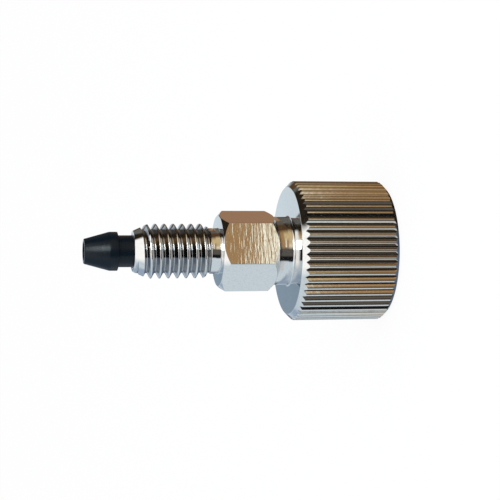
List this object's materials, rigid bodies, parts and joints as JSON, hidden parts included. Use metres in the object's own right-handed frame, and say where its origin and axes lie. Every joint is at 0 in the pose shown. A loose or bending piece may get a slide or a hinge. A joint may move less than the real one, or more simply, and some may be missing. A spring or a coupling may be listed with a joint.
{
  "type": "hplc fingertight fitting",
  "caption": "Finger-tight tube fitting: knurled metal nut with hexagon, external thread and through bore, carrying a black cone ferrule that turns freely.",
  "frame": {"origin": "centre of the head's flat back face, which it stands on", "axes": "+Z along the fitting's axis from the head's back face to the ferrule's tip; -Y square to one wrench flat of the hexagon; +X completes the frame"},
  "size_m": [0.0124, 0.0124, 0.0269],
  "materials": {
    "nut_metal": "bright plated, straight knurl, milled flats",
    "ferrule_plastic": "turned black PEEK with a soft sheen"
  },
  "bodies": {
    "nut": {"nut": "nut_metal"},
    "ferrule": {"ferrule": "ferrule_plastic"}
  },
  "joints": [
    {"name": "ferrule_spin", "type": "hinge", "parent": "nut", "child": "ferrule", "pos_m": [0, 0, 0.0203], "axis": [0, 0, 1], "continuous": true}
  ]
}
